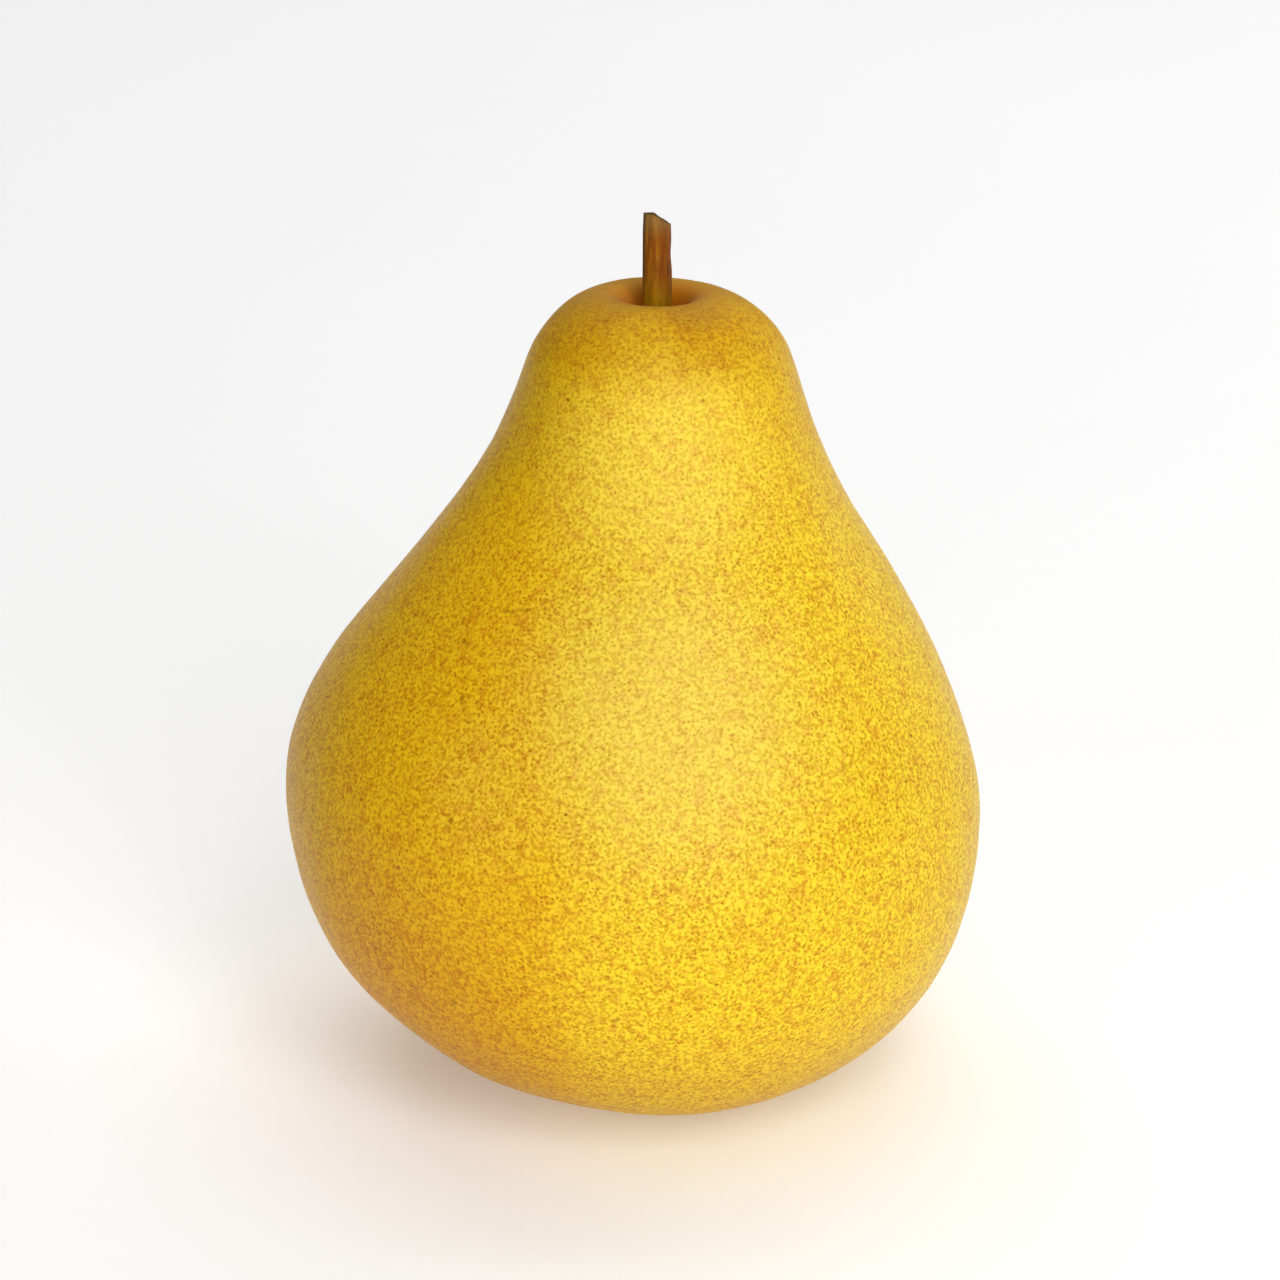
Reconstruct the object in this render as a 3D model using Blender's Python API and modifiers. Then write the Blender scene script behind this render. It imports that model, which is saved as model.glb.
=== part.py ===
"""A whole pear, as picked: the fruit, its woody stem and the dried calyx underneath.

Metres, +Z up. The fruit stands on its flat spot at z = 0, and its widest part is centred on the
Z axis. Its crown and its base lie a little towards +X, because the fruit grew slightly bent.
"""

import math
import random
from collections import namedtuple

import bmesh
import bpy
from mathutils import Matrix, Vector
from mathutils.geometry import interpolate_bezier

# The fruit's outline, as stations down its outer side. A station is a radius and a height, the
# way the outline heads there (0 is outwards, -90 is down) and the reach of the curve's handle
# before and after it.
Station = namedtuple("Station", "radius height heading before after")
CREST = Station(0.0063, 0.0963, 0, 0.0024, 0.0034)
SHOULDER = Station(0.0156, 0.0877, -75, 0.0054, 0.0063)
FLARE = Station(0.0245, 0.0683, -55.5, 0.0083, 0.0123)
BELLY = Station(0.0414, 0.0348, -90, 0.0110, 0.0128)
FLANK = Station(0.0330, 0.0103, -130, 0.0074, 0.0060)
RING_OUTSIDE = Station(0.0140, 0.0, -180, 0.0085, 0.0)
RING_INSIDE = Station(0.0105, 0.0, -180, 0.0, 0.0020)
CURVE_STEPS = 7
FRUIT_SIDES = 60

# Stem cavity: a funnel from the crest down to the mouth of the stem's socket
STEM_RADIUS = 0.00175
CLEARANCE = 0.0003
SOCKET_MOUTH_HEIGHT = 0.0912
SOCKET_DEPTH = 0.0060
SOCKET_MOUTH = Station(STEM_RADIUS + CLEARANCE, SOCKET_MOUTH_HEIGHT, 66, 0.0, 0.0026)

# Calyx basin: a hollow inside the ring that the fruit stands on
BASIN_DEPTH = 0.0055
BASIN_EDGE = Station(0.0044, BASIN_DEPTH, 140, 0.0026, 0.0)
CALYX_STUB_RADIUS = 0.0017
CALYX_STUB_LENGTH = 0.0025

# The fruit's bend: how far its middle lies towards +X at the base and in the neck
BASE_SHIFT = 0.0031
BASE_SHIFT_TOP = 0.038
BASE_SHIFT_POWER = 1.7
NECK_SHIFT = 0.0029
NECK_SHIFT_BOTTOM = 0.042
NECK_SHIFT_TOP = 0.080

# Swellings round the fruit: depth and number, where they fade out, and how far round they start
BASE_LOBES, BASE_LOBE_DEPTH, BASE_LOBE_TOP, BASE_LOBE_START = 5, 0.00035, 0.024, 0.5
CROWN_LOBES, CROWN_LOBE_DEPTH, CROWN_LOBE_BOTTOM, CROWN_LOBE_START = 3, 0.00035, 0.074, 0.2
BODY_LOBES, BODY_LOBE_DEPTH, BODY_LOBE_START = 2, 0.00030, 1.1
LOBE_INNER_RADIUS, LOBE_OUTER_RADIUS = 0.0060, 0.0120
CROWN_TILT = 0.008

# Stem: radii up its length, and the cut across its tip. The cut falls to the back all over, and
# from CUT_START on it also falls towards +X.
STEM_TIP_HEIGHT = 0.1062
STEM_FOOT_RADIUS, STEM_FOOT_HEIGHT = 0.00190, 0.0932
STEM_WAIST_RADIUS, STEM_WAIST_HEIGHT = 0.00166, 0.1000
STEM_TIP_RADIUS = 0.00160
STEM_SPARE = 0.001
STEM_SIDES = 24
STEM_RIDGES, STEM_RIDGE_DEPTH = 5, 0.00004
CUT_START = -0.00045
CUT_SLOPE_ACROSS = 0.64
CUT_SLOPE_BACK = 0.24

# Calyx: a cup with five sepals on its rim and the dried stamens inside it
CUP_SHOULDER_RADIUS = 0.0034
CUP_RIM_RADIUS, CUP_RIM_HEIGHT = 0.0039, 0.0032
CUP_WALL = 0.0007
CUP_FLOOR_RADIUS, CUP_FLOOR_HEIGHT = 0.0018, 0.0043
CUP_SIDES = 20
SEPALS = 5
SEPAL_THICKNESS = 0.0006
SEPAL_WIDTH = 0.0034
SEPAL_ROOT = Vector((0.0033, 0.0, 0.0038))
SEPAL_BEND = Vector((0.0054, 0.0, 0.0028))
SEPAL_TIP = Vector((0.0074, 0.0, 0.0018))
SEPAL_TIP_SPREAD = 0.0004
SEPAL_TAPER, SEPAL_TAPER_POWER = 0.85, 1.6
SEPAL_CUPPING = 0.0006
SEPAL_SECTIONS, SEPAL_COLUMNS = 6, 4
SEPAL_TURN_SPREAD = 0.08
STAMENS = 9
STAMEN_CIRCLE = 0.0010
STAMEN_RADIUS, STAMEN_TIP_RADIUS = 0.00032, 0.00022
STAMEN_SHORTEST, STAMEN_LONGEST = 0.0020, 0.0026
STAMEN_LEAST_LEAN, STAMEN_MOST_LEAN = math.radians(10), math.radians(19)
STAMEN_TURN_SPREAD = 0.1
STAMEN_SINK = 0.0003
STAMEN_SIDES = 6
SEED = 7

SMOOTH_ANGLE = math.radians(35)
MERGE_DISTANCE = 0.00001

# Linear base colour and roughness of each piece
SKIN_YELLOW, SKIN_ROUGHNESS = (0.72, 0.45, 0.035), 0.5
STEM_BROWN, STEM_ROUGHNESS = (0.21, 0.070, 0.012), 0.65
CALYX_BROWN, CALYX_ROUGHNESS = (0.075, 0.036, 0.015), 0.85


def clear_scene():
    for obj in list(bpy.data.objects):
        bpy.data.objects.remove(obj, do_unlink=True)


def smooth_step(share):
    """0 below 0, 1 above 1, and a smooth rise between."""
    share = min(max(share, 0.0), 1.0)
    return share * share * (3 - 2 * share)


def principled(name, colour, roughness):
    material = bpy.data.materials.new(name)
    material.use_nodes = True
    shader = material.node_tree.nodes["Principled BSDF"]
    shader.inputs["Base Color"].default_value = (*colour, 1.0)
    shader.inputs["Roughness"].default_value = roughness
    shader.inputs["Metallic"].default_value = 0.0
    return material


def curve_to(start, end, steps=CURVE_STEPS):
    """Outline points from one station to the next, leaving out the first."""
    first = Vector((start.radius, start.height))
    last = Vector((end.radius, end.height))
    leaving = Vector((math.cos(math.radians(start.heading)), math.sin(math.radians(start.heading))))
    arriving = Vector((math.cos(math.radians(end.heading)), math.sin(math.radians(end.heading))))
    first_handle = first + leaving * start.after
    last_handle = last - arriving * end.before
    points = interpolate_bezier(first, first_handle, last_handle, last, steps + 1)
    return [(point.x, point.y) for point in points[1:]]


def turned_mesh(name, outline, sides):
    """A closed mesh turned round Z from (radius, height) points, top to bottom down the outside."""
    profile = bpy.data.meshes.new(name + "_profile")
    points = [(radius, 0.0, height) for radius, height in outline]
    edges = [(index, index + 1) for index in range(len(points) - 1)]
    profile.from_pydata(points, edges, [])
    obj = bpy.data.objects.new(name + "_profile", profile)
    bpy.context.scene.collection.objects.link(obj)
    screw = obj.modifiers.new("Turn", "SCREW")
    screw.axis = "Z"
    screw.steps = sides
    screw.render_steps = sides
    screw.use_merge_vertices = True
    screw.merge_threshold = MERGE_DISTANCE
    graph = bpy.context.evaluated_depsgraph_get()
    mesh = bpy.data.meshes.new_from_object(obj.evaluated_get(graph))
    mesh.name = name
    bpy.data.objects.remove(obj, do_unlink=True)
    bpy.data.meshes.remove(profile)
    return mesh


def finish_piece(name, mesh, material, collection):
    """The named object of a piece, smooth but for its real edges."""
    mesh.materials.clear()
    mesh.materials.append(material)
    mesh.shade_smooth()
    mesh.set_sharp_from_angle(angle=SMOOTH_ANGLE)
    obj = bpy.data.objects.new(name, mesh)
    collection.objects.link(obj)
    return obj


def middle_at(height):
    """How far towards +X the fruit's middle lies at a height."""
    neck_share = (height - NECK_SHIFT_BOTTOM) / (NECK_SHIFT_TOP - NECK_SHIFT_BOTTOM)
    base_share = max(1 - height / BASE_SHIFT_TOP, 0.0)
    return NECK_SHIFT * smooth_step(neck_share) + BASE_SHIFT * base_share**BASE_SHIFT_POWER


def bend(mesh):
    """Lay a mesh that stands on the Z axis along the fruit's bent middle."""
    for vertex in mesh.vertices:
        vertex.co.x += middle_at(vertex.co.z)


def swell(mesh):
    """Raise the fruit's low lobes, and tilt its crown. Sockets near the axis stay round."""
    for vertex in mesh.vertices:
        x, y, z = vertex.co
        radius = math.hypot(x, y)
        turn = math.atan2(y, x)
        skin = smooth_step((radius - LOBE_INNER_RADIUS) / (LOBE_OUTER_RADIUS - LOBE_INNER_RADIUS))
        base = smooth_step(1 - z / BASE_LOBE_TOP)
        crown = smooth_step((z - CROWN_LOBE_BOTTOM) / (CREST.height - CROWN_LOBE_BOTTOM))
        growth = BASE_LOBE_DEPTH * base * math.cos(BASE_LOBES * turn + BASE_LOBE_START)
        growth += CROWN_LOBE_DEPTH * crown * math.cos(CROWN_LOBES * turn + CROWN_LOBE_START)
        growth += BODY_LOBE_DEPTH * math.cos(BODY_LOBES * turn + BODY_LOBE_START)
        vertex.co.x += growth * skin * math.cos(turn)
        vertex.co.y += growth * skin * math.sin(turn)
        vertex.co.z -= CROWN_TILT * x * crown


def fruit_outline():
    """From the floor of the stem's socket, over the crest and down to the calyx's socket."""
    socket_floor = SOCKET_MOUTH.height - SOCKET_DEPTH
    outline = [(0.0, socket_floor), (SOCKET_MOUTH.radius, socket_floor)]
    outline.append((SOCKET_MOUTH.radius, SOCKET_MOUTH.height))
    outline += curve_to(SOCKET_MOUTH, CREST)
    outline += curve_to(CREST, SHOULDER, CURVE_STEPS + 1)
    outline += curve_to(SHOULDER, FLARE)
    outline += curve_to(FLARE, BELLY, CURVE_STEPS + 2)
    outline += curve_to(BELLY, FLANK, CURVE_STEPS + 1)
    outline += curve_to(FLANK, RING_OUTSIDE)
    outline.append((RING_INSIDE.radius, RING_INSIDE.height))
    outline += curve_to(RING_INSIDE, BASIN_EDGE)
    calyx_socket_radius = CALYX_STUB_RADIUS + CLEARANCE
    outline.append((calyx_socket_radius, BASIN_DEPTH))
    outline.append((calyx_socket_radius, BASIN_DEPTH + CALYX_STUB_LENGTH))
    outline.append((0.0, BASIN_DEPTH + CALYX_STUB_LENGTH))
    return outline


def make_fruit(collection):
    mesh = turned_mesh("fruit", fruit_outline(), FRUIT_SIDES)
    swell(mesh)
    bend(mesh)
    return finish_piece("fruit", mesh, principled("skin", SKIN_YELLOW, SKIN_ROUGHNESS), collection)


def stem_outline():
    """The stalk before its tip is cut, standing on the Z axis, with some length to spare."""
    root_bottom = SOCKET_MOUTH.height - SOCKET_DEPTH + CLEARANCE
    return [
        (0.0, STEM_TIP_HEIGHT + STEM_SPARE),
        (STEM_TIP_RADIUS, STEM_TIP_HEIGHT + STEM_SPARE),
        ((STEM_TIP_RADIUS + STEM_WAIST_RADIUS) / 2, (STEM_TIP_HEIGHT + STEM_WAIST_HEIGHT) / 2),
        (STEM_WAIST_RADIUS, STEM_WAIST_HEIGHT),
        ((STEM_FOOT_RADIUS + STEM_WAIST_RADIUS) / 2, (STEM_FOOT_HEIGHT + STEM_WAIST_HEIGHT) / 2),
        (STEM_FOOT_RADIUS, STEM_FOOT_HEIGHT),
        (STEM_RADIUS, SOCKET_MOUTH.height),
        (STEM_RADIUS, root_bottom),
        (0.0, root_bottom),
    ]


def ridge_stem(mesh):
    """Low ridges along the wood, above the socket."""
    for vertex in mesh.vertices:
        x, y, z = vertex.co
        if z < STEM_FOOT_HEIGHT or math.hypot(x, y) < MERGE_DISTANCE:
            continue
        turn = math.atan2(y, x)
        growth = STEM_RIDGE_DEPTH * math.cos(STEM_RIDGES * turn)
        vertex.co.x += growth * math.cos(turn)
        vertex.co.y += growth * math.sin(turn)


def cut_stem_tip(mesh):
    """Cut the tip across: level from side to side on the left, and at a slant towards +X."""
    form = bmesh.new()
    form.from_mesh(mesh)
    for slope_across in (0.0, CUT_SLOPE_ACROSS):
        geometry = form.verts[:] + form.edges[:] + form.faces[:]
        cut = bmesh.ops.bisect_plane(
            form,
            geom=geometry,
            plane_co=(CUT_START, 0.0, STEM_TIP_HEIGHT),
            plane_no=Vector((slope_across, CUT_SLOPE_BACK, 1.0)).normalized(),
            clear_outer=True,
        )
        rim = [item for item in cut["geom_cut"] if isinstance(item, bmesh.types.BMEdge)]
        bmesh.ops.contextual_create(form, geom=rim)
    bmesh.ops.recalc_face_normals(form, faces=form.faces[:])
    form.to_mesh(mesh)
    form.free()


def make_stem(collection):
    mesh = turned_mesh("stem", stem_outline(), STEM_SIDES)
    ridge_stem(mesh)
    cut_stem_tip(mesh)
    bend(mesh)
    return finish_piece("stem", mesh, principled("wood", STEM_BROWN, STEM_ROUGHNESS), collection)


def cup_outline():
    """The calyx's stub and cup, top to bottom and back up inside the cup."""
    stub_top = BASIN_DEPTH + CALYX_STUB_LENGTH - CLEARANCE
    shoulder = BASIN_DEPTH - CLEARANCE
    return [
        (0.0, stub_top),
        (CALYX_STUB_RADIUS, stub_top),
        (CALYX_STUB_RADIUS, shoulder),
        (CUP_SHOULDER_RADIUS, shoulder),
        (CUP_RIM_RADIUS, (shoulder + CUP_RIM_HEIGHT) / 2),
        (CUP_RIM_RADIUS, CUP_RIM_HEIGHT),
        (CUP_RIM_RADIUS - CUP_WALL, CUP_RIM_HEIGHT),
        (CUP_FLOOR_RADIUS, CUP_FLOOR_HEIGHT),
        (0.0, CUP_FLOOR_HEIGHT),
    ]


def place_in(collection, mesh, matrix):
    """A loose object in a collection, its place taken into its mesh."""
    mesh.transform(matrix)
    obj = bpy.data.objects.new(mesh.name, mesh)
    collection.objects.link(obj)
    return obj


def sepal_mesh(tip_height):
    """One dried sepal towards +X: wide at the rim, curved outwards, cupped and pointed."""
    form = bmesh.new()
    bmesh.ops.create_grid(form, x_segments=SEPAL_SECTIONS, y_segments=SEPAL_COLUMNS, size=1.0)
    tip = SEPAL_TIP + Vector((0.0, 0.0, tip_height))
    for vertex in form.verts:
        along = (vertex.co.x + 1) / 2
        across = vertex.co.y
        spine = (1 - along) ** 2 * SEPAL_ROOT + 2 * (1 - along) * along * SEPAL_BEND + along**2 * tip
        half_width = SEPAL_WIDTH / 2 * (1 - SEPAL_TAPER * along**SEPAL_TAPER_POWER)
        lift = SEPAL_CUPPING * across**2 * (1 - along)
        vertex.co = spine + Vector((0.0, across * half_width, lift))
    mesh = bpy.data.meshes.new("sepal")
    bmesh.ops.recalc_face_normals(form, faces=form.faces[:])
    bmesh.ops.solidify(form, geom=form.faces[:], thickness=SEPAL_THICKNESS)
    bmesh.ops.recalc_face_normals(form, faces=form.faces[:])
    form.to_mesh(mesh)
    form.free()
    return mesh


def stamen_mesh(length):
    """One dried stamen, hanging from the origin, thinner at its tip."""
    form = bmesh.new()
    bmesh.ops.create_cone(
        form,
        cap_ends=True,
        segments=STAMEN_SIDES,
        radius1=STAMEN_TIP_RADIUS,
        radius2=STAMEN_RADIUS,
        depth=length,
    )
    bmesh.ops.translate(form, verts=form.verts[:], vec=(0.0, 0.0, -length / 2))
    mesh = bpy.data.meshes.new("stamen")
    form.to_mesh(mesh)
    form.free()
    return mesh


def make_calyx(collection):
    """The cup with its sepals and stamens, joined as one grown piece."""
    draw = random.Random(SEED)
    loose = bpy.data.collections.new("calyx_pieces")
    bpy.context.scene.collection.children.link(loose)
    for index in range(SEPALS):
        angle = 2 * math.pi * index / SEPALS + draw.uniform(-SEPAL_TURN_SPREAD, SEPAL_TURN_SPREAD)
        turn = Matrix.Rotation(angle, 4, "Z")
        tip_height = draw.uniform(-SEPAL_TIP_SPREAD, SEPAL_TIP_SPREAD)
        place_in(loose, sepal_mesh(tip_height), turn)
    for index in range(STAMENS):
        angle = 2 * math.pi * index / STAMENS + draw.uniform(-STAMEN_TURN_SPREAD, STAMEN_TURN_SPREAD)
        turn = Matrix.Rotation(angle, 4, "Z")
        foot = Matrix.Translation((STAMEN_CIRCLE, 0.0, CUP_FLOOR_HEIGHT + STAMEN_SINK))
        lean = Matrix.Rotation(-draw.uniform(STAMEN_LEAST_LEAN, STAMEN_MOST_LEAN), 4, "Y")
        length = draw.uniform(STAMEN_SHORTEST, STAMEN_LONGEST)
        place_in(loose, stamen_mesh(length), turn @ foot @ lean)
    cup_mesh = turned_mesh("cup", cup_outline(), CUP_SIDES)
    cup = place_in(bpy.context.scene.collection, cup_mesh, Matrix.Identity(4))
    join = cup.modifiers.new("Join", "BOOLEAN")
    join.operation = "UNION"
    join.solver = "EXACT"
    join.operand_type = "COLLECTION"
    join.collection = loose
    graph = bpy.context.evaluated_depsgraph_get()
    mesh = bpy.data.meshes.new_from_object(cup.evaluated_get(graph))
    mesh.name = "calyx"
    for obj in [cup, *loose.objects]:
        bpy.data.objects.remove(obj, do_unlink=True)
    bpy.data.collections.remove(loose)
    bend(mesh)
    material = principled("dried_calyx", CALYX_BROWN, CALYX_ROUGHNESS)
    return finish_piece("calyx", mesh, material, collection)


clear_scene()
pear = bpy.data.collections.new("pear")
bpy.context.scene.collection.children.link(pear)
make_fruit(pear)
make_stem(pear)
make_calyx(pear)
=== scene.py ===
import math
import random

import bpy
from mathutils import Matrix, Vector, noise as vector_noise


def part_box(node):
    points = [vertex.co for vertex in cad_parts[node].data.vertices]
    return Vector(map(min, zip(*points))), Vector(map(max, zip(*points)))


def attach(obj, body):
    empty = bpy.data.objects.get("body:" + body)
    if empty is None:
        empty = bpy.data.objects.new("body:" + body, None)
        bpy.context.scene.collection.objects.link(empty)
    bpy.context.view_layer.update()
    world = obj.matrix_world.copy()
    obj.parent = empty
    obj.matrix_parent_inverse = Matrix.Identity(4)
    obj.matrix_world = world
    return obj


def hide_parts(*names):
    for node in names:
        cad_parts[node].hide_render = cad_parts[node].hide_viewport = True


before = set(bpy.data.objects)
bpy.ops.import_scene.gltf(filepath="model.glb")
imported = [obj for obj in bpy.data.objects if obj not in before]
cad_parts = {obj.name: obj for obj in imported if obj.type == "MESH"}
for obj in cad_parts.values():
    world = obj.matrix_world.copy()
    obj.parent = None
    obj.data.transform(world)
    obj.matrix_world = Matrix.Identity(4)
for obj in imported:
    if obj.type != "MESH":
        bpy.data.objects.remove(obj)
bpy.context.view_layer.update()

# The fruit: one grown body of firm flesh under a thin satin skin. It has a wide base, a short
# neck, a funnel at its crown that the stem grows out of, and a basin underneath for the dried
# calyx. It stands on the ring round that basin.
merge_distance = 0.000005
quad_angle = math.radians(40)
crease_angle = math.radians(50)
fruit_subdivisions = 2
stem_low, stem_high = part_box("stem")
calyx_low, calyx_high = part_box("calyx")
stem_middle = (stem_low + stem_high) / 2
calyx_middle = (calyx_low + calyx_high) / 2
crown_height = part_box("fruit")[1].z
socket_reach = 0.0024
still_base_top = 0.0008
free_skin_from = 0.004
broad_cell = 0.020
broad_height = 0.0008
broad_level = 0.18
fine_cell = 0.0055
fine_height = 0.00016

# Places where the fruit grew a little fuller or flatter: the middle, how far it reaches, and how
# far the skin moves at the middle.
grown_bumps = (
    ((-0.0410, 0.000, 0.034), 0.017, (-0.0004, 0.0, 0.0)),
    ((-0.0260, -0.010, 0.006), 0.016, (0.0008, 0.0002, 0.0006)),
    ((0.0380, 0.002, 0.047), 0.018, (-0.0006, 0.0, 0.0)),
)


def only_select(piece):
    """Deselect everything else and make this the active object."""
    bpy.ops.object.select_all(action="DESELECT")
    piece.select_set(True)
    bpy.context.view_layer.objects.active = piece


def merged_copy(node_name, piece_name):
    """A new piece with a CAD node's shape, its loose triangles merged and paired into quads."""
    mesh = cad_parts[node_name].data.copy()
    mesh.materials.clear()
    piece = bpy.data.objects.new(piece_name, mesh)
    bpy.context.scene.collection.objects.link(piece)
    only_select(piece)
    if mesh.has_custom_normals:
        bpy.ops.mesh.customdata_custom_splitnormals_clear()
    bpy.ops.object.mode_set(mode="EDIT")
    bpy.ops.mesh.select_all(action="SELECT")
    bpy.ops.mesh.remove_doubles(threshold=merge_distance)
    bpy.ops.mesh.tris_convert_to_quads(face_threshold=quad_angle, shape_threshold=quad_angle)
    bpy.ops.object.mode_set(mode="OBJECT")
    return piece


def distance_from_line(point, middle):
    """How far a point is from an upright line, seen from above."""
    return math.hypot(point.x - middle.x, point.y - middle.y)


def hold_socket_edges(piece):
    """Crease the edges of the two sockets, so that subdivision keeps them round and clear."""
    bpy.ops.object.mode_set(mode="EDIT")
    bpy.ops.mesh.select_mode(type="EDGE")
    bpy.ops.mesh.select_all(action="DESELECT")
    bpy.ops.object.mode_set(mode="OBJECT")
    mesh = piece.data
    for edge in mesh.edges:
        ends = [mesh.vertices[index].co for index in edge.vertices]
        edge.select = any(
            all(distance_from_line(end, middle) < socket_reach for end in ends)
            for middle in (stem_middle, calyx_middle)
        )
    bpy.ops.object.mode_set(mode="EDIT")
    bpy.ops.transform.edge_crease(value=1.0)
    bpy.ops.object.mode_set(mode="OBJECT")


def subdivide(piece, levels):
    """Apply smooth subdivision to the active piece."""
    smooth = piece.modifiers.new("Smooth", "SUBSURF")
    smooth.levels = levels
    smooth.render_levels = levels
    bpy.ops.object.modifier_apply(modifier=smooth.name)


def raise_relief(piece, name, cell, height, detail, group="", level=0.5):
    """Apply soft swellings to the active piece, a cell apart and this high from dip to top.

    They go as far in as out at a level of a half, and more outwards below it.
    """
    pattern = bpy.data.textures.new(name, "CLOUDS")
    pattern.noise_scale = cell
    pattern.noise_depth = detail
    relief = piece.modifiers.new(name, "DISPLACE")
    relief.texture = pattern
    relief.texture_coords = "LOCAL"
    relief.strength = height
    relief.mid_level = level
    relief.vertex_group = group
    bpy.ops.object.modifier_apply(modifier=relief.name)


def smooth_share(value, start, end):
    """0 at the start, 1 at the end, and a smooth rise between."""
    share = min(max((value - start) / (end - start), 0.0), 1.0)
    return share * share * (3 - 2 * share)


fruit = merged_copy("fruit", "pear_fruit")
hold_socket_edges(fruit)
subdivide(fruit, fruit_subdivisions)
free_skin = fruit.vertex_groups.new(name="free_skin")
for vertex in fruit.data.vertices:
    off_stem = distance_from_line(vertex.co, stem_middle)
    free_share = smooth_share(vertex.co.z, still_base_top, free_skin_from)
    free_share *= smooth_share(off_stem, socket_reach, 2 * socket_reach)
    free_skin.add([vertex.index], free_share, "REPLACE")
raise_relief(fruit, "broad_swellings", broad_cell, broad_height, 0, "free_skin", broad_level)
raise_relief(fruit, "fine_swellings", fine_cell, fine_height, 1, "free_skin")
fruit.vertex_groups.clear()
for bump_middle, bump_reach, bump_push in grown_bumps:
    for vertex in fruit.data.vertices:
        bump_share = smooth_share((vertex.co - Vector(bump_middle)).length, bump_reach, 0.0)
        vertex.co += Vector(bump_push) * bump_share
bpy.ops.object.shade_smooth_by_angle(angle=crease_angle)


def new_material(name, roughness):
    """A node material with its Principled shader, and the piece's own coordinates in metres."""
    material = bpy.data.materials.new(name)
    material.use_nodes = True
    tree = material.node_tree
    shader = tree.nodes["Principled BSDF"]
    shader.inputs["Roughness"].default_value = roughness
    place = tree.nodes.new("ShaderNodeTexCoord").outputs["Object"]
    return material, tree, shader, place


def add_node(tree, kind, wires, **settings):
    """A node with its settings, and its inputs set to values or wired to sockets."""
    node = tree.nodes.new(kind)
    for name, value in settings.items():
        setattr(node, name, value)
    for name, value in wires.items():
        if isinstance(value, bpy.types.NodeSocket):
            tree.links.new(value, node.inputs[name])
        else:
            node.inputs[name].default_value = value
    return node


def noise(tree, place, scale, detail=2.0, roughness=0.5, distortion=0.0):
    """Soft grain, with one blotch for each 1/scale of a metre."""
    wires = {"Vector": place, "Scale": scale, "Detail": detail}
    wires.update({"Roughness": roughness, "Distortion": distortion})
    return add_node(tree, "ShaderNodeTexNoise", wires).outputs["Fac"]


def dot_distance(tree, place, scale):
    """How far a place is from the nearest of many scattered dots, in cells of 1/scale of a metre."""
    return add_node(tree, "ShaderNodeTexVoronoi", {"Vector": place, "Scale": scale}).outputs["Distance"]


def fade(tree, value, start, end, low=0.0, high=1.0):
    """A value that goes smoothly from low to high as another goes from start to end."""
    wires = {"Value": value, "From Min": start, "From Max": end, "To Min": low, "To Max": high}
    kind = "ShaderNodeMapRange"
    return add_node(tree, kind, wires, interpolation_type="SMOOTHSTEP").outputs["Result"]


def near(tree, place, middle, reach, full_reach):
    """1 as far as the full reach from a place on the piece, and 0 beyond its reach."""
    wires = {0: place, 1: tuple(middle)}
    away = add_node(tree, "ShaderNodeVectorMath", wires, operation="DISTANCE").outputs["Value"]
    return fade(tree, away, full_reach, reach, 1.0, 0.0)


def math_of(tree, operation, first, second):
    """Two values added, subtracted and so on."""
    return add_node(tree, "ShaderNodeMath", {0: first, 1: second}, operation=operation).outputs[0]


def product(tree, first, *others):
    """All these values multiplied together."""
    for other in others:
        first = math_of(tree, "MULTIPLY", first, other)
    return first


def mixed(tree, share, first, second, blend="MIX"):
    """Two colours mixed by a share, which may be a value or a socket."""
    wires = {"Factor": share, 6: first, 7: second}
    settings = {"data_type": "RGBA", "blend_type": blend}
    return add_node(tree, "ShaderNodeMix", wires, **settings).outputs[2]


def tinted(tree, colour, share, tint):
    """A colour that a share of a tint darkens, as a glaze does."""
    return mixed(tree, 1.0, colour, mixed(tree, share, white, tint), "MULTIPLY")


white = (1, 1, 1, 1)
lemon_yellow = (0.96, 0.70, 0.030, 1)
golden_yellow = (0.92, 0.575, 0.010, 1)
# Painted shade for the base.
painted_base_shade = (0.82, 0.80, 0.95, 1)
# Partly blush and partly painted shade, low on the left.
blush_and_shade_tint = (0.88, 0.75, 0.65, 1)
# A painted highlight, pale over the front.
painted_highlight = (0.99, 0.75, 0.11, 1)
neck_gold = (0.76, 0.475, 0.001, 1)
crown_ochre = (0.68, 0.35, 0.001, 1)
# Partly russet and partly painted sheen on the crown's cap.
crown_tan_and_sheen = (0.53, 0.270, 0.018, 1)
# Partly russet and partly painted shade in the funnel; the next is painted shade at its floor.
funnel_orange_and_shade = (0.48, 0.15, 0.003, 1)
funnel_floor_shade = (0.28, 0.085, 0.002, 1)
basin_russet = (0.50, 0.27, 0.050, 1)
freckle_tint = (0.765, 0.60, 0.27, 1)
speck_tint = (0.66, 0.48, 0.35, 1)
mottle_tint = (0.915, 0.75, 0.97, 1)
pore_tint = (0.42, 0.30, 0.25, 1)
satin_roughness = 0.44
dull_roughness = 0.70

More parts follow.
